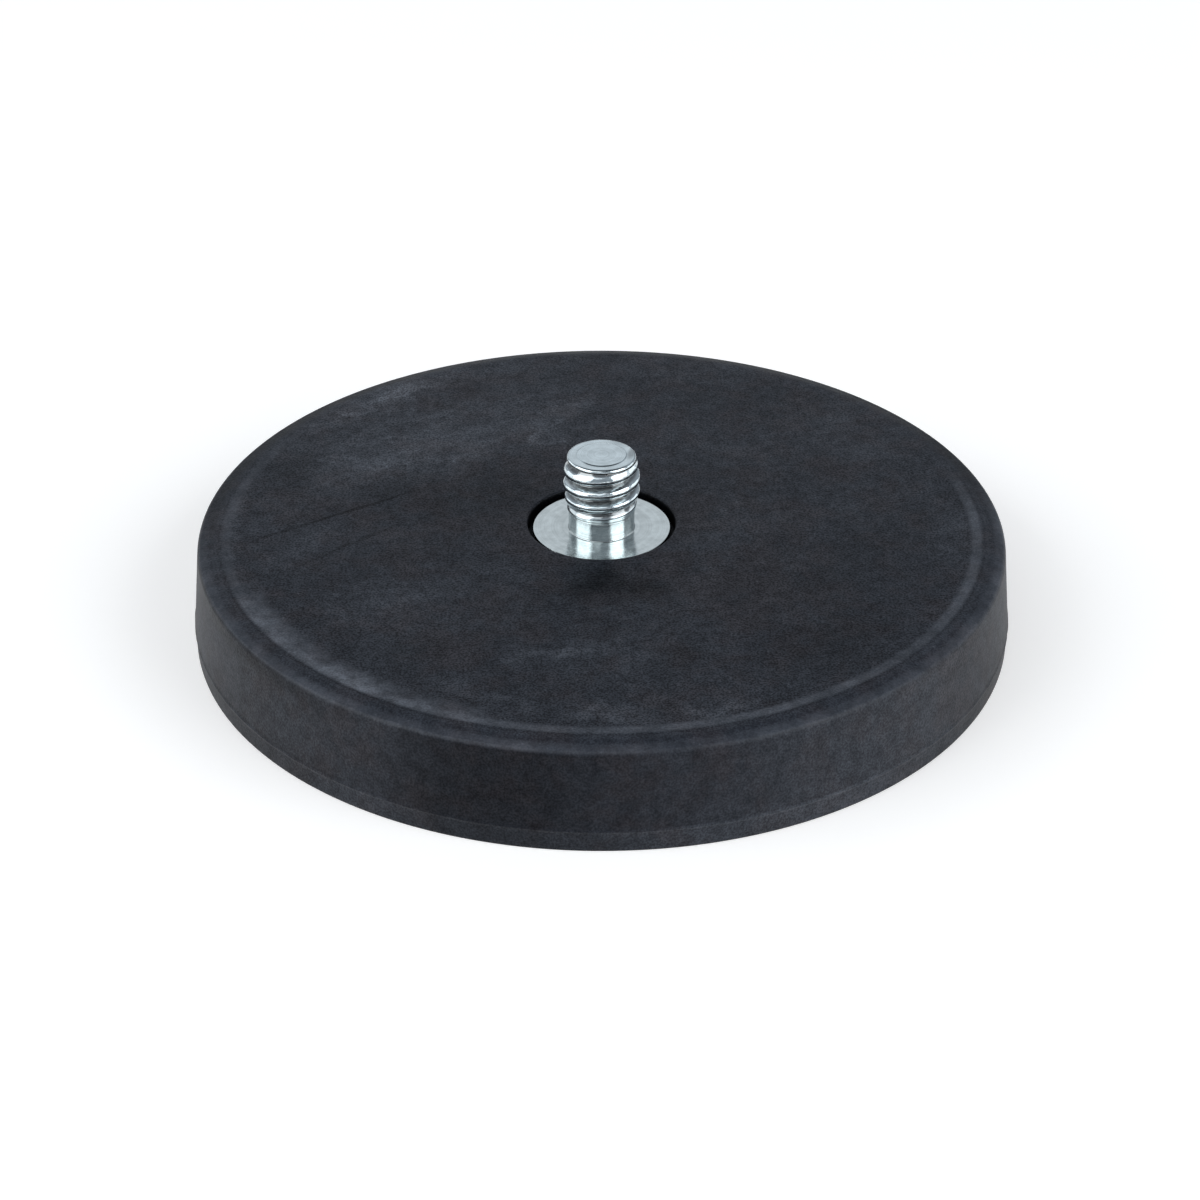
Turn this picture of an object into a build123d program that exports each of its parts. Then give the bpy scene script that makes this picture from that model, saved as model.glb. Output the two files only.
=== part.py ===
from build123d import *
from math import asin, floor, pi, radians, tan
import os

# Rubber-coated pot magnet with a short threaded stud, for hanging things on painted steel.
# Millimetres. The origin is the centre of the holding face, the flat rubber face that
# grips the steel, and +Z points along the stud.
#
# Layers from the holding face up: a thin rubber skin, a ring of disc magnets, a steel
# back plate that closes their magnetic circuit, and a rubber skin over the plate. The
# rubber is moulded round plate and magnets in one shot, so it fills the room between the
# magnets too. The stud is swaged into the plate before moulding, and its flange shows
# through a hole in the upper skin.

# Steel back plate: a blanked disc with a hole for the stud's shank
plate_thickness = 3.0
plate_chamfer = 0.4              # round both rims

# Disc magnets, face to face with the plate's underside
magnet_diameter = 14.0
magnet_thickness = 3.0
magnet_inset = 1.0               # of the ring of discs from the plate's rim
magnet_gap = 1.5                 # least room between neighbours

# Stud: a turned blank with a rolled thread, 1/4 inch with 20 turns to the inch
thread_diameter = 6.25           # over the crests
thread_length = 3.2              # full crests, without the run-outs
thread_pitch = 1.27
blank_diameter = 5.35            # the blank that the thread was rolled on: neck and tip
neck_length = 1.8                # plain blank between the flange and the lower run-out
tip_length = 0.25                # plain blank above the upper run-out
tip_flat_diameter = 3.9
tip_fall = 0.1                   # from the flat to the blank's rim
tip_chamfer = 0.12
flange_diameter = 11.1
flange_thickness = 0.8
flange_chamfer = 0.12
shank_diameter = 6.0             # inside the plate
swage_diameter = 8.0             # the shank's end, spread flush with the plate's underside
swage_depth = 1.0

# Rubber jacket
jacket_diameter = 66.0           # over the flash line where the two mould halves met
side_skin = 4.0                  # from the flash line to the plate's rim
bottom_skin = 1.2                # over the magnets, the working gap to the steel
top_skin = 1.3                   # over the plate
parting_height = 1.4             # of the flash line above the holding face
flash_width = 0.24
flash_proud = 0.06               # how far the flash line stands out of the wall
upper_draft = 5.6                # degrees, from the flash line up
lower_draft = 2.0                # degrees, from the flash line down
shoulder_width = 1.55            # sloping band round the rim of the top face
shoulder_drop = 0.4
shoulder_radius = 0.3            # where the band turns into the wall
foot_chamfer = 0.25              # round the holding face
hole_chamfer = 0.15              # lip of the hole round the flange

# Clearances
flange_gap = 0.4                 # all round the flange, in the hole of the upper skin
shank_clearance = 0.02           # round the shank and the swage, in the plate
moulded_clearance = 0.02         # between the rubber and the round sides of what it holds

# The plate follows the jacket and the ring of magnets follows the plate. The ring holds as
# many discs as there is room for, in pairs, because north and south poles take turns.
plate_diameter = jacket_diameter - 2 * side_skin
magnet_circle_diameter = plate_diameter - 2 * magnet_inset - magnet_diameter
half_step = asin((magnet_diameter + magnet_gap) / magnet_circle_diameter)
magnet_count = 2 * floor(pi / half_step / 2)

# Heights of the layers
magnet_base = bottom_skin
plate_base = magnet_base + magnet_thickness
plate_top = plate_base + plate_thickness
jacket_top = plate_top + top_skin

# Heights along the stud. The rolled thread fades into the blank over half a turn.
run_out = thread_pitch / 2
flange_top = plate_top + flange_thickness
thread_base = flange_top + neck_length + run_out
thread_top = thread_base + thread_length
stud_top = thread_top + run_out + tip_length + tip_fall

# Radii of the jacket's wall
wall_radius = jacket_diameter / 2 - flash_proud
shoulder_height = jacket_top - shoulder_drop
shoulder_outer = wall_radius - (shoulder_height - parting_height) * tan(radians(upper_draft))
shoulder_inner = shoulder_outer - shoulder_width
foot_outer = wall_radius - parting_height * tan(radians(lower_draft))
hole_radius = flange_diameter / 2 + flange_gap


def corner(section, point):
    """Corner of a flat section that lies at a point."""
    return section.vertices().sort_by_distance(point)[0]


def turn(section):
    """Revolve a section, drawn as radius and height, into a solid."""
    return revolve(Plane.XZ * section, axis=Axis.Z)


def magnet_ring(grown=0.0):
    """The discs, evenly spaced from +X. They can be grown sideways, for the pockets."""
    height = Pos(0, 0, magnet_base + magnet_thickness / 2)
    disc = height * Cylinder(magnet_diameter / 2 + grown, magnet_thickness)
    places = PolarLocations(magnet_circle_diameter / 2, magnet_count)
    return [place * disc for place in places]


def plate_blank(grown=0.0):
    """Disc with both rims chamfered. It can be grown sideways, for the pocket round it."""
    radius = plate_diameter / 2 + grown
    section = Polygon(
        (0, plate_base),
        (radius, plate_base),
        (radius, plate_top),
        (0, plate_top),
        align=None,
    )
    rims = section.vertices().group_by(Axis.X)[-1]
    return turn(chamfer(rims, plate_chamfer))


def steel_plate():
    """Back plate, with the stud's hole countersunk from below for the swage."""
    shank_hole = shank_diameter / 2 + shank_clearance
    swage_seat = swage_diameter / 2 + shank_clearance
    bore = Polygon(
        (0, plate_base),
        (swage_seat, plate_base),
        (shank_hole, plate_base + swage_depth),
        (shank_hole, plate_top),
        (0, plate_top),
        align=None,
    )
    return plate_blank() - turn(bore)


def threaded_stud():
    """Stud in one piece: swaged shank, flange, neck, thread at its crest size and tip."""
    shank = shank_diameter / 2
    swage = swage_diameter / 2
    flange = flange_diameter / 2
    blank = blank_diameter / 2
    crest = thread_diameter / 2
    rim = stud_top - tip_fall
    section = Polygon(
        (0, plate_base),
        (swage, plate_base),
        (shank, plate_base + swage_depth),
        (shank, plate_top),
        (flange, plate_top),
        (flange, flange_top),
        (blank, flange_top),
        (blank, thread_base - run_out),
        (crest, thread_base),
        (crest, thread_top),
        (blank, thread_top + run_out),
        (blank, rim),
        (tip_flat_diameter / 2, stud_top),
        (0, stud_top),
        align=None,
    )
    section = chamfer(corner(section, (flange, flange_top)), flange_chamfer)
    section = chamfer(corner(section, (blank, rim)), tip_chamfer)
    return turn(section)


def rubber_jacket():
    """Moulded jacket: drafted wall, sloping shoulder, and pockets round plate and magnets."""
    flash = flash_width / 2
    section = Polygon(
        (0, 0),
        (foot_outer, 0),
        (wall_radius, parting_height - flash),
        (jacket_diameter / 2, parting_height),
        (wall_radius, parting_height + flash),
        (shoulder_outer, shoulder_height),
        (shoulder_inner, jacket_top),
        (hole_radius, jacket_top),
        (hole_radius, plate_top),
        (0, plate_top),
        align=None,
    )
    section = chamfer(corner(section, (foot_outer, 0)), foot_chamfer)
    section = fillet(corner(section, (shoulder_outer, shoulder_height)), shoulder_radius)
    section = chamfer(corner(section, (hole_radius, jacket_top)), hole_chamfer)
    body = turn(section)
    body -= plate_blank(moulded_clearance)
    for pocket in magnet_ring(moulded_clearance):
        body -= pocket
    return body


pieces = {
    "rubber_jacket": rubber_jacket(),
    "steel_plate": steel_plate(),
    "threaded_stud": threaded_stud(),
}
for number, magnet in enumerate(magnet_ring(), start=1):
    pieces[f"magnet_{number}"] = magnet

os.makedirs("parts", exist_ok=True)
for name, piece in pieces.items():
    export_step(piece, f"parts/{name}.step")

print("height of the jacket", round(jacket_top, 3), "and of the stud", round(stud_top, 3))
print("volumes in cubic mm", {name: round(piece.volume, 1) for name, piece in pieces.items()})
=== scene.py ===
from itertools import pairwise
from math import cos, pi, radians, sin

import bmesh
import bpy
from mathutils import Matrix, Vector


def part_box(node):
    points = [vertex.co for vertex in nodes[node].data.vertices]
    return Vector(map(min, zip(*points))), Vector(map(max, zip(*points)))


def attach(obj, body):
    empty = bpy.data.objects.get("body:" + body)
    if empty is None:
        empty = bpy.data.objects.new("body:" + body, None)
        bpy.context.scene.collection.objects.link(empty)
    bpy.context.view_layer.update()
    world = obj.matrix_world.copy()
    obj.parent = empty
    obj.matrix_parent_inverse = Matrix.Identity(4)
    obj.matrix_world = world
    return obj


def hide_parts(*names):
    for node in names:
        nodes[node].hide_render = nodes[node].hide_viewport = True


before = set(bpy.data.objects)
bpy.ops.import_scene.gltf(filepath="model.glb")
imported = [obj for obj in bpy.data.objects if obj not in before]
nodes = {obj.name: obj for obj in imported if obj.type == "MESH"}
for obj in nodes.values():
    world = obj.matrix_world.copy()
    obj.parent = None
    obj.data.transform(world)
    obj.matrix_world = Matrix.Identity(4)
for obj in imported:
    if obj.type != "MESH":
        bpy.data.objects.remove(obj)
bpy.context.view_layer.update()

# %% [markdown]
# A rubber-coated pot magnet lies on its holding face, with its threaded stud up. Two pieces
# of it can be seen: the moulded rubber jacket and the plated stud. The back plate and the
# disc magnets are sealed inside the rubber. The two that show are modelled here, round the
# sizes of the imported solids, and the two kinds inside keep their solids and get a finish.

mm = 0.001
magnets = sorted(name for name in nodes if name.startswith("magnet_"))

jacket_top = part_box("rubber_jacket")[1].z / mm
jacket_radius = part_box("rubber_jacket")[1].x / mm
plate_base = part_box("steel_plate")[0].z / mm
plate_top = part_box("steel_plate")[1].z / mm
plate_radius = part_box("steel_plate")[1].x / mm
stud_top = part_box("threaded_stud")[1].z / mm
flange_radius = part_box("threaded_stud")[1].x / mm
print("jacket", round(2 * jacket_radius, 2), "by", round(jacket_top, 2), "stud top", round(stud_top, 2))

# %% [markdown]
# The camera stands where the photograph was taken from: a long lens, almost straight in front
# and about 31 degrees above the table. Its place was worked out from the outline of the
# jacket, which is round, so that each ellipse tells how steeply it is seen.

# %% Camera
camera_place = Vector((0.30, -186.58, 114.24)) * mm
camera_pitch = 31.231            # degrees below level
camera_turn = 0.130              # degrees to the left
camera_lens = 79.95              # mm
sensor_width = 36                # mm

bpy.ops.object.camera_add(location=camera_place)
camera = bpy.context.object
camera.rotation_euler = (radians(90 - camera_pitch), 0, radians(camera_turn))
camera.data.lens = camera_lens
camera.data.sensor_width = sensor_width
camera.data.clip_start = 0.01
bpy.context.scene.camera = camera
print("camera", round(camera_place.length / mm), "mm from the origin")

# %% [markdown]
# The floor is a wide pale sheet. The camera sees it as white, as in a picture for a catalogue,
# and shiny metal sees its glow too. The rest of the light meets its plain pale colour. Past the
# lamps it would turn grey, so for the camera alone it glows more with the distance, and no
# horizon shows in a low view. The room is evenly grey with a dark ceiling, which is what keeps
# the upper flanks of the thread dark.


# %% Floor and background
def new_material(name):
    """Node material with nothing in it but its output."""
    material = bpy.data.materials.new(name)
    material.use_nodes = True
    material.node_tree.nodes.clear()
    material.node_tree.nodes.new("ShaderNodeOutputMaterial")
    return material


def add(tree, kind, inputs=None, **settings):
    """A node of a tree, with its settings made and its sockets linked or filled in."""
    node = tree.nodes.new(kind)
    for name, value in settings.items():
        setattr(node, name, value)
    for socket, value in (inputs or {}).items():
        if isinstance(value, bpy.types.NodeSocket):
            tree.links.new(value, node.inputs[socket])
        else:
            node.inputs[socket].default_value = value
    return node


def output_of(tree):
    """The tree's output node."""
    return next(node for node in tree.nodes if node.type.startswith("OUTPUT"))


def maths(tree, kind, first, second=0.0):
    """Two numbers put together by one kind of sum."""
    return add(tree, "ShaderNodeMath", {0: first, 1: second}, operation=kind).outputs[0]


def product(tree, first, *others):
    """Numbers multiplied together."""
    for other in others:
        first = maths(tree, "MULTIPLY", first, other)
    return first


def plus(tree, first, *others):
    """Numbers added up."""
    for other in others:
        first = maths(tree, "ADD", first, other)
    return first


def largest(tree, first, *others):
    """The largest of several numbers."""
    for other in others:
        first = maths(tree, "MAXIMUM", first, other)
    return first


def step(tree, value, low, high, start=0.0, end=1.0):
    """Soft step from start to end, while the value goes from low to high."""
    node = add(tree, "ShaderNodeMapRange", {0: value, 1: low, 2: high, 3: start, 4: end},
               interpolation_type="SMOOTHSTEP")
    return node.outputs[0]


def seen_rays(tree):
    """One for rays from the camera, a mirror or a glass, and nought for all others."""
    path = add(tree, "ShaderNodeLightPath").outputs
    return largest(tree, path["Is Camera Ray"], path["Is Glossy Ray"], path["Is Transmission Ray"])


def length_of(tree, vector):
    """Length of a vector."""
    return add(tree, "ShaderNodeVectorMath", {0: vector}, operation="LENGTH").outputs["Value"]


floor_size = 6.0                 # m
floor_drop = 0.02                # mm below the holding face
floor_tone = (0.80, 0.80, 0.80, 1)
glow_tone = (1.0, 0.97, 0.95, 1)
near_glow = 0.38                 # for the camera and for mirrors
far_glow = 0.62                  # as much again, for the camera, far off
far_start = 0.35                 # m from the centre
far_full = 0.72

bpy.ops.mesh.primitive_plane_add(size=floor_size, location=(0, 0, -floor_drop * mm))
floor = bpy.context.object
floor.name = "floor"
floor_paint = new_material("pale floor")
tree = floor_paint.node_tree
matt = add(tree, "ShaderNodeBsdfDiffuse", {"Color": floor_tone})
away = length_of(tree, add(tree, "ShaderNodeTexCoord").outputs["Object"])
eye = add(tree, "ShaderNodeLightPath").outputs["Is Camera Ray"]
far = product(tree, step(tree, away, far_start, far_full, 0.0, far_glow), eye)
glow = add(tree, "ShaderNodeEmission", {"Color": glow_tone, "Strength": plus(tree, far, near_glow)})
unlit = add(tree, "ShaderNodeEmission", {"Strength": 0.0})
shown = add(tree, "ShaderNodeMixShader", {0: seen_rays(tree), 1: unlit.outputs[0], 2: glow.outputs[0]})
both = add(tree, "ShaderNodeAddShader", {0: matt.outputs[0], 1: shown.outputs[0]})
tree.links.new(both.outputs[0], output_of(tree).inputs["Surface"])
floor.data.materials.append(floor_paint)
print("floor", floor_size, "m wide")

room_tone = (0.87, 0.955, 1.05, 1)
room_light = 0.36
ceiling_light = 0.08
ceiling_start = 0.66             # height on a ball of radius one
ceiling_full = 0.90

world = bpy.data.worlds.new("studio")
world.use_nodes = True
world.node_tree.nodes.clear()
tree = world.node_tree
add(tree, "ShaderNodeOutputWorld")
look = add(tree, "ShaderNodeTexCoord").outputs["Generated"]
rise = add(tree, "ShaderNodeSeparateXYZ", {0: look}).outputs["Z"]
light = step(tree, rise, ceiling_start, ceiling_full, room_light, ceiling_light)
room = add(tree, "ShaderNodeBackground", {"Color": room_tone, "Strength": light})
white = add(tree, "ShaderNodeBackground", {"Color": (1, 1, 1, 1), "Strength": 1.0})
eye = add(tree, "ShaderNodeLightPath").outputs["Is Camera Ray"]
around = add(tree, "ShaderNodeMixShader", {0: eye, 1: room.outputs[0], 2: white.outputs[0]})
tree.links.new(around.outputs[0], output_of(tree).inputs["Surface"])
bpy.context.scene.world = world
bpy.context.scene.view_settings.view_transform = "Standard"

# %% [markdown]
# Two tall soft boxes in front, left and right of the camera, draw the two bright bands on the
# neck of the stud, and the gap between them its dark middle. Two smaller ones stand further
# round, for the sides of the wall. One behind lights the top of the rubber and the flange at a
# low angle, and one above the camera lights the rounded crests. Nothing hangs overhead. A
# lamp's bearing is counted from the camera's side, to the right, and its rise is its height in
# degrees above the table.

# %% Lamps
lamp_distance = 0.85             # m
lamp_aim = 11                    # mm above the table, on the thread
lamp_colour = (0.95, 0.98, 1.0)
lamps = [
    # name, bearing and rise in degrees, width and height in m, brightness
    ("right front box", 58, 28, 0.70, 0.75, 3.0),
    ("left front box", -68, 28, 0.76, 0.75, 2.4),
    ("right side box", 106, 9, 0.50, 0.50, 1.2),
    ("left side box", -112, 9, 0.50, 0.50, 1.1),
    ("back box", -168, 32, 0.90, 0.55, 0.34),
    ("camera box", -30, 54, 0.64, 0.50, 1.2),
]


def soft_box(name, bearing, rise, width, height, brightness):
    """Area lamp on a circle round the stud. Brightness is about what a mirror would see in it."""
    aim = Vector((0, 0, lamp_aim * mm))
    side, up = radians(bearing), radians(rise)
    level = lamp_distance * cos(up)
    place = Vector((level * sin(side), -level * cos(side), lamp_distance * sin(up)))
    data = bpy.data.lights.new(name, "AREA")
    data.shape = "RECTANGLE"
    data.size = width
    data.size_y = height
    data.energy = brightness * pi * width * height
    data.color = lamp_colour
    lamp = bpy.data.objects.new(name, data)
    bpy.context.scene.collection.objects.link(lamp)
    lamp.location = place
    lamp.rotation_euler = (aim - place).to_track_quat("-Z", "Y").to_euler()


for lamp in lamps:
    soft_box(*lamp)
print(len(lamps), "lamps")

# %% [markdown]
# Both pieces that show are round, so each starts as half a section, drawn point by point and
# spun about the upright axis. One point is a plane merged to its centre, and the rest are
# extruded from it.


# %% Helpers for turned and moulded pieces
def deselect():
    """Nothing stays selected or active."""
    for obj in bpy.context.selected_objects:
        obj.select_set(False)
    bpy.context.view_layer.objects.active = None


def activate(obj):
    """This object alone is selected and active."""
    deselect()
    obj.select_set(True)
    bpy.context.view_layer.objects.active = obj


def edit(obj):
    """Edit mode on this object alone."""
    activate(obj)
    bpy.ops.object.mode_set(mode="EDIT")


def leave_edit():
    """Back from edit mode."""
    bpy.ops.object.mode_set(mode="OBJECT")


def select_points(obj, test):
    """In edit mode, selects the points that pass a test of their radius and height in mm."""
    work = bmesh.from_edit_mesh(obj.data)
    bpy.ops.mesh.select_all(action="DESELECT")
    bpy.ops.mesh.select_mode(type="VERT")
    found = 0
    for point in work.verts:
        if test(point.co.xy.length / mm, point.co.z / mm):
            point.select_set(True)
            found += 1
    work.select_flush(True)
    bmesh.update_edit_mesh(obj.data)
    return found


def partway(first, second, share):
    """Point on the line between two points of a section."""
    return tuple(a + (b - a) * share for a, b in zip(first, second))


def draw_section(name, corners):
    """Bent line through points that are given as radius and height in mm."""
    deselect()
    radius, height = corners[0]
    bpy.ops.mesh.primitive_plane_add(size=mm, location=(radius * mm, 0, height * mm))
    obj = bpy.context.object
    obj.name = name
    bpy.ops.object.transform_apply(location=True)
    bpy.ops.object.mode_set(mode="EDIT")
    bpy.ops.mesh.select_all(action="SELECT")
    bpy.ops.mesh.merge(type="CENTER")
    for (r0, z0), (r1, z1) in pairwise(corners):
        move = ((r1 - r0) * mm, 0, (z1 - z0) * mm)
        bpy.ops.mesh.extrude_vertices_move(TRANSFORM_OT_translate={"value": move})
    leave_edit()
    return obj


def round_points(obj, places, offset, segments):
    """Rounds the corners of a section that lie at the given places."""
    edit(obj)
    for r, z in places:
        found = select_points(obj, lambda a, b: abs(a - r) < 0.01 and abs(b - z) < 0.01)
        assert found == 1, (found, r, z)
        bpy.ops.mesh.bevel(offset=offset * mm, segments=segments, affect="VERTICES")
    leave_edit()


def weld(obj):
    """Joins points that lie in one place, and turns all faces outwards."""
    edit(obj)
    bpy.ops.mesh.select_all(action="SELECT")
    bpy.ops.mesh.remove_doubles(threshold=0.001 * mm)
    bpy.ops.mesh.normals_make_consistent(inside=False)
    leave_edit()


def spin_round(obj, steps):
    """Spins a section into a closed round body."""
    edit(obj)
    bpy.ops.mesh.select_all(action="SELECT")
    bpy.ops.mesh.spin(steps=steps, angle=2 * pi, center=(0, 0, 0), axis=(0, 0, 1))
    leave_edit()
    weld(obj)


def smooth(obj, degrees):
    """Smooth shading, apart from edges that are sharper than the angle."""
    activate(obj)
    bpy.ops.object.shade_smooth_by_angle(angle=radians(degrees))


def report(obj):
    """Prints a piece's counts and says whether it is closed."""
    work = bmesh.new()
    work.from_mesh(obj.data)
    open_edges = sum(1 for edge in work.edges if len(edge.link_faces) != 2)
    volume = work.calc_volume(signed=True) / mm**3
    triangles = sum(len(face.verts) - 2 for face in work.faces)
    work.free()
    print(obj.name, triangles, "triangles", open_edges, "open edges", round(volume, 1), "cubic mm")


# %% [markdown]
# The jacket is one moulding. Its wall leans in by a few degrees so that it leaves the mould,
# and a thin flash line low on the wall shows where the mould halves met. The top ends in a
# shallow sloping band. The section also holds the pocket of the back plate, so the piece is
# as hollow as the real one. Next to each rounding lies a support point, so that the smooth
# shading of the rounding doesn't run out over the flat face beside it.

# %% Rubber jacket
flash_height = 1.70
flash_half = 0.12                # half its thickness at the wall
flash_edge = 0.02                # and at its outer edge
flash_proud = 0.09
foot_tuck = 0.02                 # how far the foot lies inside the wall
shoulder_outer = 32.28
shoulder_inner = 30.73
shoulder_drop = 0.4
flange_gap = 0.4                 # between the flange and the hole round it
plate_edge = 0.4                 # chamfer round the pocket of the plate
foot_rounding = 0.10
shoulder_rounding = 0.32
rim_rounding = 0.35
hole_rounding = 0.18
round_steps = 720

wall_radius = jacket_radius - flash_proud
foot_radius = wall_radius - foot_tuck
hole_radius = flange_radius + flange_gap
foot = (foot_radius, 0)
below_flash = (wall_radius, flash_height - flash_half)
above_flash = (wall_radius, flash_height + flash_half)
shoulder = (shoulder_outer, jacket_top - shoulder_drop)
rim_corner = (shoulder_inner, jacket_top)
hole_corner = (hole_radius, jacket_top)
jacket_section = [
    (0, 0),
    (foot_radius - 0.5, 0),
    foot,
    partway(foot, below_flash, 0.15),
    partway(foot, below_flash, 0.9),
    below_flash,
    (jacket_radius, flash_height - flash_edge),
    (jacket_radius, flash_height + flash_edge),
    above_flash,
    partway(above_flash, shoulder, 0.03),
    partway(above_flash, shoulder, 0.93),
    shoulder,
    partway(shoulder, rim_corner, 0.28),
    partway(shoulder, rim_corner, 0.70),
    rim_corner,
    (shoulder_inner - 0.5, jacket_top),
    (hole_radius + 0.3, jacket_top),
    hole_corner,
    partway(hole_corner, (hole_radius, plate_top), 0.25),
    (hole_radius, plate_top),
    (plate_radius - plate_edge, plate_top),
    (plate_radius, plate_top - plate_edge),
    (plate_radius, plate_base + plate_edge),
    (plate_radius - plate_edge, plate_base),
    (0, plate_base),
]
jacket = draw_section("moulded_jacket", jacket_section)
round_points(jacket, [foot], foot_rounding, 3)
round_points(jacket, [shoulder], shoulder_rounding, 8)
round_points(jacket, [rim_corner], rim_rounding, 5)
round_points(jacket, [hole_corner], hole_rounding, 4)
spin_round(jacket, round_steps)
report(jacket)

# %% [markdown]
# The rubber also flows between the magnets and closes round each of them, so each magnet has a
# round pocket of its own, open towards the plate. A cylinder for every pocket is cut out with
# one Boolean modifier.

# %% Pockets of the magnets
pocket_gap = 0.02                # round each magnet
pocket_sides = 96


def apply(obj, modifier):
    """Applies one modifier of a piece."""
    activate(obj)
    bpy.ops.object.modifier_apply(modifier=modifier.name)


deselect()
cutters = []
for name in magnets:
    low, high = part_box(name)
    top = plate_base * mm + 0.5 * (high.z - low.z)
    bpy.ops.mesh.primitive_cylinder_add(
        vertices=pocket_sides,
        radius=(high.x - low.x) / 2 + pocket_gap * mm,
        depth=top - low.z,
        location=((low.x + high.x) / 2, (low.y + high.y) / 2, (low.z + top) / 2),
    )
    cutters.append(bpy.context.object)
for cutter in cutters:
    cutter.select_set(True)
bpy.ops.object.join()
cutter = bpy.context.object
pockets = jacket.modifiers.new("pockets", "BOOLEAN")
pockets.operation = "DIFFERENCE"
pockets.solver = "EXACT"
pockets.object = cutter
apply(jacket, pockets)
bpy.data.objects.remove(cutter)
report(jacket)

# %% [markdown]
# A flash line is never clean: where the rubber tore off the mould it is a little ragged. Only
# the points on the line are moved, and only inwards, by a cloud texture.

# %% Ragged flash line
raggedness = 0.075               # deepest tear
tear_size = 1.5
clouds = bpy.data.textures.new("torn edge", "CLOUDS")
clouds.noise_scale = tear_size * mm
clouds.noise_depth = 2
line = jacket.vertex_groups.new(name="flash")
on_line = [p.index for p in jacket.data.vertices if p.co.xy.length / mm > jacket_radius - 0.01]
line.add(on_line, 1.0, "REPLACE")
torn = jacket.modifiers.new("torn", "DISPLACE")
torn.texture = clouds
torn.texture_coords = "LOCAL"
torn.vertex_group = line.name
torn.mid_level = 1.0
torn.strength = raggedness * mm
apply(jacket, torn)
jacket.vertex_groups.clear()
smooth(jacket, 40)
print(len(on_line), "points on the flash line")
report(jacket)

# %% [markdown]
# The stud was turned from bar, and its thread was rolled on, which pushes the metal out of
# the grooves and up into the crests. The crests are round and broad. The thread is one turn
# of its section repeated by a Screw modifier, and a Cast modifier presses the turns flat on to
# the plain blank towards both ends, where the rolling dies let go. The crests fade over
# more than a turn, and the grooves end sooner. Rolled metal is never quite even, so a cloud
# texture moves the thread in by a few hundredths.

# %% Threaded stud
pitch = 1.27
blank = 2.76                     # before the thread was rolled on
crest = 3.125
root = 2.50
flange_top = 8.1
crest_at_right = 12.70           # height of one crest on the +X side
crest_half = 0.24                # half the width of a crest
flank_slope = 0.5774             # the flanks lean 30 degrees each
crest_rounding = 0.23
root_rounding = 0.025
turns = 11
turns_below = 8                  # of them, under the crest at crest_at_right
turn_steps = 128
bump_size = 0.7
bump_depth = 0.05

# How much of the thread's height is left at some heights, for the crests and for the grooves
crest_left = [(9.95, 0.0), (11.5, 1.0), (13.1, 1.0), (14.0, 0.45), (14.28, 0.0)]
groove_left = [(9.95, 0.0), (10.45, 1.0), (14.0, 1.0), (14.28, 0.0)]

flank = (crest - root) * flank_slope
root_half = pitch / 2 - flank - crest_half
low_crest = crest_at_right - turns_below * pitch
thread_section = [
    (root, low_crest - pitch / 2),
    (root, low_crest - pitch / 2 + root_half),
    (crest, low_crest - crest_half),
    (crest, low_crest + crest_half),
    (root, low_crest + pitch / 2 - root_half),
    (root, low_crest + pitch / 2),
]
stud = draw_section("rolled_stud", thread_section)
round_points(stud, [thread_section[2], thread_section[3]], crest_rounding, 7)
round_points(stud, [thread_section[1], thread_section[4]], root_rounding, 2)
screw = stud.modifiers.new("rolling", "SCREW")
screw.axis = "Z"
screw.steps = turn_steps
screw.render_steps = turn_steps
screw.screw_offset = pitch * mm
screw.iterations = turns
apply(stud, screw)
weld(stud)


def follow(table, value):
    """Reads a table of pairs, with even slopes between them."""
    for (a, left), (b, right) in pairwise(table):
        if value <= b:
            share = max(value - a, 0) / (b - a)
            return left + (right - left) * share
    return table[-1][1]


plain = stud.vertex_groups.new(name="plain")
for point in stud.data.vertices:
    table = crest_left if point.co.xy.length / mm > blank else groove_left
    plain.add([point.index], 1 - follow(table, point.co.z / mm), "REPLACE")
cast = stud.modifiers.new("run-outs", "CAST")
cast.cast_type = "CYLINDER"
cast.factor = 1
cast.use_radius_as_size = False
cast.size = blank * mm
cast.use_z = False
cast.vertex_group = plain.name
apply(stud, cast)

bumps = bpy.data.textures.new("rolled metal", "CLOUDS")
bumps.noise_scale = bump_size * mm
bumps.noise_depth = 2
rolled = stud.vertex_groups.new(name="rolled")
for point in stud.data.vertices:
    rolled.add([point.index], follow(groove_left, point.co.z / mm), "REPLACE")
bumpy = stud.modifiers.new("uneven", "DISPLACE")
bumpy.texture = bumps
bumpy.texture_coords = "LOCAL"
bumpy.vertex_group = rolled.name
bumpy.mid_level = 0.9
bumpy.strength = bump_depth * mm
apply(stud, bumpy)
stud.vertex_groups.clear()
print(turns, "turns,", len(stud.data.vertices), "points")

# %% [markdown]
# The long screw is then cut to length with two bisections. The flange, the shank in the plate
# and its swaged end are extruded from the lower rim, ring by ring, and the tip from the upper.


# %% Flange, shank and tip
def cut(obj, height, keep_above):
    """Cuts the piece level and throws one side away."""
    edit(obj)
    bpy.ops.mesh.select_all(action="SELECT")
    bpy.ops.mesh.bisect(
        plane_co=(0, 0, height * mm),
        plane_no=(0, 0, 1),
        clear_inner=keep_above,
        clear_outer=not keep_above,
        threshold=0.00001 * mm,
    )
    leave_edit()
    weld(obj)


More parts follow.
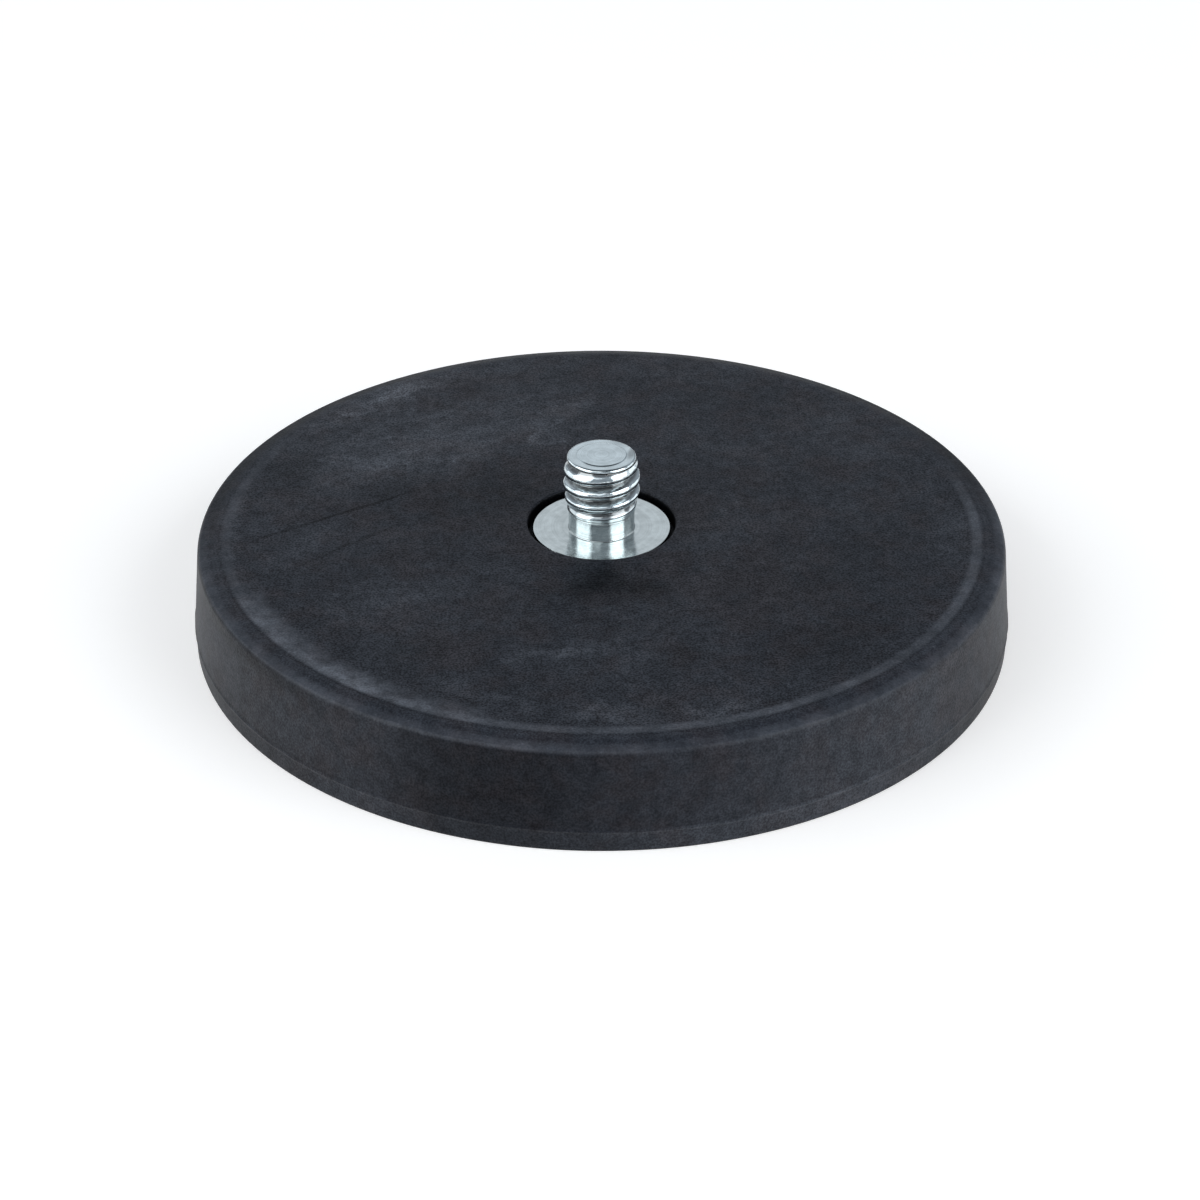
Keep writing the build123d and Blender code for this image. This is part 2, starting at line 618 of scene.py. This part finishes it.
def extrude_rings(obj, start, rings):
    """Extrudes the rim at the start's radius and height through a list of rings, and closes it."""
    edit(obj)
    r0, z0 = start
    select_points(obj, lambda r, z: abs(z - z0) < 0.001)
    for r1, z1 in rings:
        bpy.ops.mesh.extrude_edges_move(TRANSFORM_OT_translate={"value": (0, 0, (z1 - z0) * mm)})
        grow = r1 / r0
        bpy.ops.transform.resize(value=(grow, grow, 1), center_override=(0, 0, z1 * mm))
        r0, z0 = r1, z1
    bpy.ops.mesh.merge(type="CENTER")
    leave_edit()


blank_end = 9.90                 # where the blank steps down to the neck
neck = 2.655
shank = 3.0                      # in the plate's hole
swage = 4.0                      # spread end of the shank, at the plate's underside
swage_depth = 1.0
tip_height = 0.34                # above the end of the blank
last_ring = 0.30                 # round the middle of both ends

rim = stud_top - tip_height
cut(stud, blank_end, True)
cut(stud, rim, False)
flange_rings = [
    (blank - 0.005, blank_end - 0.03),
    (blank - 0.03, blank_end - 0.06),
    (neck + 0.02, blank_end - 0.10),
    (neck, blank_end - 0.14),
    (neck, blank_end - 0.22),
    (neck, blank_end - 0.24),
    (neck - 0.01, blank_end - 0.26),
    (neck, blank_end - 0.28),
    (neck, blank_end - 0.30),
    (neck, flange_top + 0.12),
    (neck + 0.01, flange_top + 0.04),
    (neck + 0.04, flange_top + 0.01),
    (neck + 0.08, flange_top),
    (neck + 0.14, flange_top),
    (flange_radius - 0.12, flange_top),
    (flange_radius - 0.06, flange_top),
    (flange_radius - 0.02, flange_top - 0.02),
    (flange_radius, flange_top - 0.08),
    (flange_radius, plate_top + 0.05),
    (flange_radius - 0.05, plate_top),
    (shank, plate_top),
    (shank, plate_base + swage_depth),
    (swage, plate_base),
    (last_ring, plate_base),
]
tip_rings = [
    (2.67, rim + 0.015),
    (2.63, rim + 0.03),
    (2.65, rim + 0.045),
    (2.73, rim + 0.05),
    (2.755, rim + 0.075),
    (2.748, rim + 0.125),
    (2.728, rim + 0.17),
    (2.696, rim + 0.21),
    (2.65, rim + 0.243),
    (2.59, rim + 0.268),
    (2.50, rim + 0.28),
    (2.14, rim + 0.305),
    (2.07, rim + 0.285),
    (2.01, rim + 0.285),
    (1.97, rim + 0.31),
    (1.94, rim + 0.335),
    (1.88, rim + tip_height),
    (1.80, rim + tip_height),
    (last_ring, rim + tip_height),
]
extrude_rings(stud, (blank, blank_end), flange_rings)
extrude_rings(stud, (blank, rim), tip_rings)
weld(stud)
smooth(stud, 50)
report(stud)

# %% [markdown]
# A finish is a tree of nodes that works out a colour for each place on the piece. The helpers
# below give the places in millimetres, soft steps between two values, and soft patches that
# have a centre, a turn and a size, for wear that lies where it lies.


# %% Helpers for finishes
def scaled(tree, vector, size):
    """A vector made longer or shorter, or a colour lighter or darker."""
    inputs = {0: vector, "Scale": size}
    return add(tree, "ShaderNodeVectorMath", inputs, operation="SCALE").outputs[0]


def moved(tree, place, shift):
    """A place moved by a vector."""
    return add(tree, "ShaderNodeVectorMath", {0: place, 1: shift}, operation="ADD").outputs[0]


def coordinates(tree):
    """Where a point of the piece lies: its place, radius and height in mm, and its angle."""
    place = scaled(tree, add(tree, "ShaderNodeTexCoord").outputs["Object"], 1 / mm)
    flat = add(tree, "ShaderNodeVectorMath", {0: place, 1: (1, 1, 0)}, operation="MULTIPLY")
    split = add(tree, "ShaderNodeSeparateXYZ", {0: place}).outputs
    angle = maths(tree, "ARCTAN2", split["Y"], split["X"])
    return place, length_of(tree, flat.outputs[0]), split["Z"], angle


def rest_of(tree, share):
    """What a share leaves of one."""
    return maths(tree, "SUBTRACT", 1.0, share)


def band(tree, value, low, top_low, top_high, high):
    """One between the two inner values, nought outside the two outer ones."""
    rise = step(tree, value, low, top_low)
    fall = step(tree, value, top_high, high, 1.0, 0.0)
    return product(tree, rise, fall)


def towards(tree, angle, bearing):
    """One where the piece faces that bearing, nought square to it and minus one behind."""
    return maths(tree, "COSINE", maths(tree, "SUBTRACT", angle, radians(bearing)))


def noise(tree, place, scale, detail=3.0, roughness=0.5, output="Fac"):
    """Cloudy pattern, so many to the mm. Its number lies between nought and one."""
    inputs = {"Vector": place, "Scale": scale, "Detail": detail, "Roughness": roughness}
    return add(tree, "ShaderNodeTexNoise", inputs).outputs[output]


def patch(tree, place, centre, turn, length, width, soft=0.6):
    """Soft oval patch, one at its middle. Its length and width are half sizes in mm."""
    inputs = {
        "Vector": place,
        "Location": (centre[0], centre[1], 0),
        "Rotation": (0, 0, radians(turn)),
        "Scale": (length, width, 1000),
    }
    local = add(tree, "ShaderNodeMapping", inputs, vector_type="TEXTURE").outputs[0]
    return step(tree, length_of(tree, local), 1 - soft, 1.0, 1.0, 0.0)


def all_patches(tree, place, patches):
    """Several patches together, each with its own strength first."""
    total = 0.0
    for strength, *shape in patches:
        total = plus(tree, total, product(tree, patch(tree, place, *shape), strength))
    return total


def mixed(tree, share, first, second):
    """Two colours mixed, with that share of the second."""
    return add(tree, "ShaderNodeMix", {0: share, 6: first, 7: second}, data_type="RGBA").outputs[2]


def relief(tree, height, strength, depth):
    """Small bumps of a depth in mm, which only the shading shows."""
    inputs = {"Height": height, "Strength": strength, "Distance": depth * mm}
    return add(tree, "ShaderNodeBump", inputs).outputs[0]


def surface(tree, inputs):
    """The shader of a piece, joined to the output of its tree."""
    shader = add(tree, "ShaderNodeBsdfPrincipled", inputs)
    tree.links.new(shader.outputs[0], output_of(tree).inputs["Surface"])


# %% [markdown]
# Black rubber is nearly black, but it never looks plain. Its moulded grain scatters the light,
# and pale mould powder stays where the rubber bends: in a ring along the rim of the top, thickest
# at the front left, and on the edge of the wall. Hands and boxes have wiped and scratched the
# top. So the finish is black, with powder laid over it by several masks, and dark marks on that.
# First come the places that the masks share. Bearings are in degrees from the +X side, so the
# front is at -90. The holding face has radii and bearings like the top, so it is masked out.

# %% Places on the rubber
wipe_bearing = 38
rubber = new_material("moulded rubber")
tree = rubber.node_tree
place, radius, height, angle = coordinates(tree)
over_top = maths(tree, "SUBTRACT", height, jacket_top)
over_flash = maths(tree, "SUBTRACT", height, flash_height)

on_top = step(tree, over_top, -0.10, -0.02)
under = step(tree, height, 0.02, 0.15, 1.0, 0.0)
not_under = rest_of(tree, under)
on_wall = product(tree, step(tree, over_top, -0.7, -0.5, 1.0, 0.0), not_under)
on_foot = product(tree, step(tree, over_flash, -0.1, 0.1, 1.0, 0.0), not_under)
front = step(tree, towards(tree, angle, -85), -0.30, 0.15)
foot_front = step(tree, towards(tree, angle, -88), 0.60, 0.92)
to_right = towards(tree, angle, -62)

# Places that wander, much for the powder and little for the scratches
wander = moved(tree, noise(tree, place, 0.35, output="Color"), (-0.5, -0.5, -0.5))
loose = moved(tree, place, scaled(tree, wander, 5.0))
swaying = moved(tree, place, scaled(tree, wander, 0.4))

# Wipes run across the top from the front left to the back right, so this noise is drawn out
along = {"Vector": loose, "Rotation": (0, 0, radians(wipe_bearing)), "Scale": (5.0, 0.9, 5.0)}
drawn_out = add(tree, "ShaderNodeMapping", along, vector_type="TEXTURE").outputs[0]
streaks = step(tree, noise(tree, drawn_out, 1.0, 4.0, 0.65), 0.33, 0.67, 0.52, 1.35)
patchy = step(tree, noise(tree, place, 0.30, 5.0, 0.65), 0.34, 0.66, 0.30, 1.35)
even = step(tree, noise(tree, place, 0.14, 3.0, 0.55), 0.36, 0.64, 0.65, 1.25)
print("masks", len(tree.nodes), "nodes")

# %% [markdown]
# Powder lies in rings and bands that run round the jacket, each with its own bearing where it is
# heaviest, and in single marks on the top. The same pale grey also paints light on the front of the
# foot and a sheen on the wall at the right. Every mark has a strength, a centre, a turn in
# degrees, two half sizes and a softness. The strengths are shares of the powder's grey.

# %% Powder and painted light on the rubber
ring_back = 0.065
ring_right = 0.105
drift_strength = 0.13
edge_strength = 0.088
slope_strength = 0.026
flash_strength = 0.035
foot_light_strength = 0.036
wall_sheen_strength = 0.028
film_strength = 0.022
grain_strength = 0.06

# Ring along the rim of the top, with a drift on it at the front left
ring = product(
    tree,
    band(tree, radius, 29.35, 29.85, 30.2, 30.6),
    step(tree, towards(tree, angle, -100), -0.55, -0.12, 0.10, 1.0),
    step(tree, towards(tree, angle, -30), -0.6, 0.8, ring_back, ring_right),
    even,
    not_under,
)
drift = product(
    tree,
    band(tree, radius, 27.8, 29.4, 30.3, 30.65),
    step(tree, towards(tree, angle, -133), 0.84, 0.99),
    patchy,
    not_under,
    drift_strength,
)

# Sloping band, and the edge between it and the wall
slope = product(tree, band(tree, radius, 30.6, 30.85, 31.5, 31.8), front, not_under, slope_strength)
edge = product(
    tree,
    band(tree, radius, 31.25, 31.90, 32.10, 32.35),
    step(tree, over_top, -0.8, -0.6),
    even,
    front,
    edge_strength,
)

# Flash line, painted light on the thin foot below it, and a painted sheen on the wall at the right
flash = product(
    tree,
    band(tree, over_flash, -0.16, -0.06, 0.10, 0.26),
    step(tree, to_right, 0.90, 0.98, 0.1, 1.3),
    patchy,
    flash_strength,
)
# Painted light on the front of the foot.
foot_front_light = product(tree, on_foot, foot_front, foot_light_strength)
# Painted sheen on the wall at the front right, where it is seen at a glancing angle.
right_wall_sheen = patch(tree, place, (20.5, -26.5), 38, 17.0, 7.0, 0.7)
right_wall_sheen = product(tree, right_wall_sheen, on_wall, wall_sheen_strength)

pale_marks = [
    (0.054, (-12.0, 15.0), 38, 16.0, 8.0, 0.8),      # wiped area at the back left
    (0.034, (-21.0, 9.0), 60, 8.0, 6.0, 0.8),
    (0.040, (-17.0, 24.0), 38, 9.0, 3.6, 0.9),
    (0.060, (-18.5, 22.5), 42, 6.5, 1.6, 0.8),
    (0.060, (-2.5, 20.0), 55, 6.0, 1.3, 0.9),
    (0.060, (-5.6, 14.5), 50, 3.5, 0.9, 0.8),
    (0.075, (-11.3, 11.0), 42, 2.6, 0.9, 0.8),
    (0.030, (-6.0, 12.5), 30, 6.0, 1.6, 0.8),
    (0.060, (1.6, -18.2), 20, 1.0, 0.6, 0.9),        # spots at the front
    (0.050, (-3.6, -20.0), 12, 5.5, 1.0, 0.9),
    (0.060, (0.0, -27.4), 3, 4.6, 1.5, 0.8),
    (0.060, (9.4, -26.8), 20, 4.0, 1.3, 0.8),
    (0.045, (-8.5, -25.5), -25, 5.0, 1.4, 0.9),
    (0.036, (-16.0, -12.0), 20, 7.5, 4.0, 0.9),
    (0.026, (-24.0, -4.0), 60, 6.0, 2.4, 0.9),
    (0.030, (-29.4, 0.0), 90, 10.0, 1.0, 0.8),
    (0.018, (13.0, 11.0), 60, 10.0, 6.0, 0.9),
    (0.020, (28.0, -3.0), 90, 8.0, 3.0, 0.9),
    (0.014, (2.0, 27.0), 0, 12.0, 3.0, 0.9),
    (0.040, (-20.5, 20.0), 44, 9.0, 3.4, 0.9),
    (0.022, (-9.0, 28.0), 17, 11.0, 3.6, 0.9),
    (0.020, (0.5, -19.5), 5, 9.0, 5.0, 0.9),
    (0.024, (11.5, 1.0), 60, 7.0, 5.0, 0.9),
    (0.026, (21.0, 15.0), -50, 11.0, 5.5, 0.9),
    (0.022, (-20.0, 16.0), 50, 12.0, 9.0, 0.7),
    (0.012, (8.0, 27.5), -10, 14.0, 3.4, 0.8),
]
pale = product(tree, all_patches(tree, loose, pale_marks), on_top)
film = step(tree, noise(tree, place, 0.10, 5.0, 0.62), 0.35, 0.70, 0.0, film_strength)
film = product(tree, film, largest(tree, on_top, under))
pale = product(tree, plus(tree, pale, film), streaks)

# Grains of powder caught in the pores, sparse and uneven
pores = add(tree, "ShaderNodeTexVoronoi", {"Vector": place, "Scale": 2.4, "Randomness": 1.0})
grains = product(
    tree,
    step(tree, pores.outputs["Distance"], 0.10, 0.26, 1.0, 0.0),
    step(tree, noise(tree, place, 0.5, 3.0, 0.6), 0.42, 0.62),
    step(tree, over_top, -0.7, -0.3, 0.35, 1.0),
    grain_strength,
)
powder_and_light = plus(tree, pale, grains, ring, drift, edge, slope, flash, foot_front_light, right_wall_sheen)
print(len(pale_marks), "pale marks,", len(tree.nodes), "nodes")

# %% [markdown]
# Dark marks take powder and shine away: scratches, smudges from fingers and the seam above the
# flash line. Painted shade darkens the inside of the hole, the front of the wall and the sides of
# the foot, and the slope is darker towards the back. Their strengths are shares of what is taken.

# %% Dark marks on the rubber
dark_marks = [
    (0.42, (-25.0, -1.4), 33.6, 5.0, 0.30, 0.7),     # scratches on the left
    (0.52, (-19.5, 2.3), 33.6, 6.0, 0.28, 0.6),
    (0.26, (-11.0, 7.6), 32, 5.5, 0.34, 0.8),
    (0.34, (-19.0, -2.9), 41, 5.0, 0.32, 0.7),
    (0.26, (-22.6, -6.2), 40, 3.4, 0.30, 0.7),
    (0.16, (-6.5, 11.5), 50, 5.0, 0.8, 0.9),
    (0.30, (0.6, -10.2), 5, 7.0, 4.4, 0.9),          # smudges in front of the hole
    (0.36, (0.2, -8.8), 85, 3.6, 2.3, 0.9),
    (0.34, (3.6, -10.4), 10, 3.2, 2.1, 0.9),
    (0.26, (-1.8, -10.8), 60, 3.0, 2.0, 0.9),
    (0.30, (-25.5, 8.5), 75, 5.5, 3.2, 0.9),
    (0.20, (-17.0, 6.0), 32, 6.0, 3.0, 0.9),
    (0.22, (-13.5, -19.0), 20, 4.5, 2.6, 0.9),
    (0.14, (-10.0, 4.0), 32, 9.0, 4.0, 0.9),
    (0.20, (5.5, -20.5), 70, 5.0, 3.0, 0.9),
    (0.24, (17.5, -18.0), 40, 8.0, 5.5, 0.9),
    (0.16, (20.0, -6.0), 60, 8.0, 4.0, 0.9),
    (0.18, (13.5, -10.5), 10, 9.0, 4.5, 0.9),
]
# Painted shade on the front of the wall, and a little on its left.
wall_shade_marks = [
    (0.40, (-8.0, -31.5), 10, 17.0, 6.0, 0.8),
    (0.08, (-26.5, -19.5), 55, 8.0, 5.0, 0.9),
]
dark = product(tree, all_patches(tree, swaying, dark_marks), on_top)
# Painted shade inside the hole.
hole_shade = product(
    tree,
    step(tree, radius, hole_radius + 0.06, hole_radius + 0.20, 0.8, 0.0),
    band(tree, over_top, -3.5, -2.5, -0.12, -0.04),
)
seam = product(
    tree,
    band(tree, over_flash, 0.08, 0.18, 0.30, 0.50),
    step(tree, to_right, 0.0, 0.6, 0.32, 0.05),
)
# Painted shade on the sides of the foot.
foot_side_shade = product(tree, on_foot, step(tree, foot_front, 0.0, 1.0, 0.16, 0.0))
left_edge = product(
    tree,
    band(tree, over_top, -2.2, -1.0, -0.55, -0.40),
    step(tree, towards(tree, angle, -162), 0.76, 0.97, 0.0, 0.42),
)
# The slope is darker towards the back.
back_slope = product(
    tree,
    step(tree, radius, 30.7, 31.4, 0.0, 0.38),
    rest_of(tree, front),
    not_under,
)
wall_dark = product(tree, all_patches(tree, place, wall_shade_marks), on_wall)
wall_dark = plus(tree, largest(tree, wall_dark, seam), foot_side_shade, left_edge)
kept = rest_of(tree, largest(tree, dark, hole_shade, wall_dark, back_slope))
print(len(dark_marks) + len(wall_shade_marks), "dark marks,", len(tree.nodes), "nodes")

# %% [markdown]
# The moulded grain makes small specks, weaker where the powder is thick and on the wall. The
# black itself leans to brown in places. Powder, painted light and shade, marks, specks and
# mottling then go into one colour, and the shine follows the same shade.

# %% Rubber finish
rubber_and_shade_black = (0.0088, 0.0112, 0.0172, 1)
rubber_brown = (0.0112, 0.0104, 0.0146, 1)
powder_and_light_grey = (0.33, 0.36, 0.42, 1)

grain = noise(tree, place, 6.5, 1.0, 0.5)
smooth_powder = largest(tree, drift, ring, edge)
speck = product(
    tree,
    step(tree, grain, 0.25, 0.75, -0.54, 0.54),
    step(tree, smooth_powder, 0.0, 0.05, 1.0, 0.45),
    step(tree, radius, 30.0, 31.0, 1.0, 0.6),
)
mottle = step(tree, noise(tree, place, 0.9, 4.0, 0.65), 0.30, 0.70, 0.80, 1.20)
shade = product(tree, kept, plus(tree, speck, 1.0), mottle)

brown_area = product(tree, patch(tree, place, (5.0, -6.0), -30, 26.0, 17.0, 0.9), 0.08)
brown = step(tree, plus(tree, noise(tree, place, 0.28, 4.0, 0.65), brown_area), 0.42, 0.66)
dusted_and_lit = mixed(tree, powder_and_light, mixed(tree, brown, rubber_and_shade_black, rubber_brown), powder_and_light_grey)
surface(tree, {
    "Base Color": scaled(tree, dusted_and_lit, shade),
    "Roughness": step(tree, kept, 0.4, 1.0, 0.42, 0.50),
    "Specular IOR Level": product(tree, step(tree, over_top, -0.5, -0.2, 0.24, 0.20), shade),
    "Normal": relief(tree, grain, 0.5, 0.04),
})
print("rubber", len(tree.nodes), "nodes")

# %% [markdown]
# The stud is steel with a bright zinc coat. Turning leaves fine lines round the flange, the neck
# and the tip, and rolling presses the flanks smooth. The roots of the thread, the groove under the
# tip's rim and the right side of the tip are darkened in the colour: painted shade, with some dirt
# in the roots. The lines follow the radius and the height alone, so they run round the piece.
# Flange and neck are a little less blue than the thread, the neck is also duller, and the tip is
# brighter.

# %% Zinc finish
zinc_bright = (0.70, 0.78, 0.81, 1)
zinc_low = (0.69, 0.745, 0.75, 1)
zinc_root = (0.16, 0.155, 0.15, 1)
root_shade_and_dirt = 0.78
tip_groove_shade = 0.8
neck_shade = 0.85
tip_shade = 1.06
thread_start = (10.1, 10.4)      # heights between which the painted shade and dirt of the roots set in
neck_end = (10.0, 10.4)
low_end = (9.8, 10.3)

zinc = new_material("bright zinc")
tree = zinc.node_tree
place, radius, height, angle = coordinates(tree)
over_rim = maths(tree, "SUBTRACT", height, rim)
round_place = add(tree, "ShaderNodeCombineXYZ", {0: radius, 1: height}).outputs[0]
fine_lines = noise(tree, round_place, 9.0, 3.0, 0.6)
broad_lines = noise(tree, round_place, 2.4, 3.0, 0.6)
cloud = noise(tree, place, 1.1, 4.0, 0.6)
grit = noise(tree, place, 14.0, 2.0, 0.5)

# How far along its turn of the thread a place lies: nought on a crest, a half in a groove
turned = maths(tree, "DIVIDE", maths(tree, "SUBTRACT", height, crest_at_right), pitch)
turned = maths(tree, "SUBTRACT", turned, maths(tree, "DIVIDE", angle, 2 * pi))
part = maths(tree, "FRACT", plus(tree, turned, 0.5))
off_crest = maths(tree, "ABSOLUTE", maths(tree, "SUBTRACT", part, 0.5))

threaded = product(tree, step(tree, height, *thread_start), step(tree, over_rim, 0.07, 0.09, 1.0, 0.0))
# The roots are darkened in the colour: painted shade of the dark flanks, with some dirt.
in_root = product(tree, step(tree, off_crest, 0.24, 0.38), threaded, root_shade_and_dirt)
# Painted shade in the groove under the tip's rim.
under_tip = product(tree, band(tree, over_rim, -0.05, 0.0, 0.07, 0.09), tip_groove_shade)
clean = mixed(tree, step(tree, height, *low_end, 1.0, 0.0), zinc_bright, zinc_low)
metal = mixed(tree, largest(tree, in_root, under_tip), clean, zinc_root)

# Painted shade on the right side of the tip's end.
tip_shade_patches = [
    (0.45, (2.38, 0.3), 80, 1.5, 0.45, 0.7),
    (0.20, (1.2, 2.0), -40, 1.5, 0.5, 0.9),
]
tip_right_shade = product(tree, all_patches(tree, place, tip_shade_patches), step(tree, over_rim, 0.1, 0.2))
on_neck = product(
    tree,
    step(tree, height, flange_top - 0.05, flange_top + 0.10),
    step(tree, height, *neck_end, 1.0, 0.0),
    step(tree, radius, 2.75, 2.95, 1.0, 0.0),
)
mottle = product(
    tree,
    step(tree, cloud, 0.3, 0.7, 0.84, 1.04),
    step(tree, fine_lines, 0.3, 0.7, 0.90, 1.06),
    step(tree, broad_lines, 0.3, 0.7, 0.93, 1.05),
    rest_of(tree, tip_right_shade),
    step(tree, on_neck, 0.0, 1.0, 1.0, neck_shade),
    step(tree, over_rim, -0.05, 0.05, 1.0, tip_shade),
)
dents = product(tree, noise(tree, place, 2.6, 3.0, 0.6), threaded, 5.0)
lines_and_dents = plus(tree, fine_lines, product(tree, grit, 0.5), dents)
surface(tree, {
    "Base Color": scaled(tree, metal, mottle),
    "Metallic": 1.0,
    "Roughness": plus(tree, step(tree, cloud, 0.3, 0.7, 0.09, 0.18), product(tree, on_neck, 0.05)),
    "Normal": relief(tree, lines_and_dents, 0.35, 0.01),
})
print("zinc", len(tree.nodes), "nodes")

# %% [markdown]
# The back plate is a plain blanked disc with a dull zinc coat, and the magnets have a nickel
# skin, a little warmer and smoother. Both are inside the rubber, but each has its own finish.
# The plate shows in one place, at the bottom of the gap round the flange, and there it is painted
# black and not metallic, as painted shade.


# %% Finishes of the pieces inside
def coated_metal(name, bright, dull, grain_scale, smoothest, roughest, shade_radius=0.0):
    """Metal coat whose tone and gloss change a little, painted black as shade inside a radius."""
    material = new_material(name)
    tree = material.node_tree
    place, radius = coordinates(tree)[:2]
    # Painted shade: black and not metallic inside the radius, at the bottom of the gap.
    film = step(tree, radius, shade_radius, shade_radius + 0.3, 1.0, 0.0)
    cloud = noise(tree, place, 0.6, 4.0, 0.6)
    grit = noise(tree, place, grain_scale, 2.0, 0.5)
    metal = mixed(tree, step(tree, cloud, 0.3, 0.7), bright, dull)
    gloss = step(tree, cloud, 0.3, 0.7, smoothest, roughest)
    surface(tree, {
        "Base Color": mixed(tree, film, metal, rubber_and_shade_black),
        "Metallic": rest_of(tree, film),
        "Roughness": largest(tree, gloss, product(tree, film, 0.6)),
        "Normal": relief(tree, grit, 0.3, 0.02),
    })
    return material


plate_bright = (0.60, 0.62, 0.63, 1)
plate_dull = (0.50, 0.52, 0.54, 1)
nickel_bright = (0.68, 0.66, 0.62, 1)
nickel_dull = (0.60, 0.58, 0.54, 1)
plate_coat = coated_metal("dull zinc", plate_bright, plate_dull, 6.0, 0.34, 0.46, hole_radius)
nickel = coated_metal("nickel", nickel_bright, nickel_dull, 10.0, 0.18, 0.30)
print("plate", plate_coat.name, "and magnets", nickel.name)

# %% [markdown]
# Each modelled piece gets its finish, rides the part's one body and takes the place of its
# solid. The plate and the magnets keep their solids and only get a new finish.

# %% Dressing
jacket.data.materials.append(rubber)
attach(jacket, "root")
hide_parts("rubber_jacket")

stud.data.materials.append(zinc)
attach(stud, "root")
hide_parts("threaded_stud")

for name in ["steel_plate"] + magnets:
    finish = plate_coat if name == "steel_plate" else nickel
    nodes[name].data.materials.clear()
    nodes[name].data.materials.append(finish)
print("dressed", jacket.name, "and", stud.name)
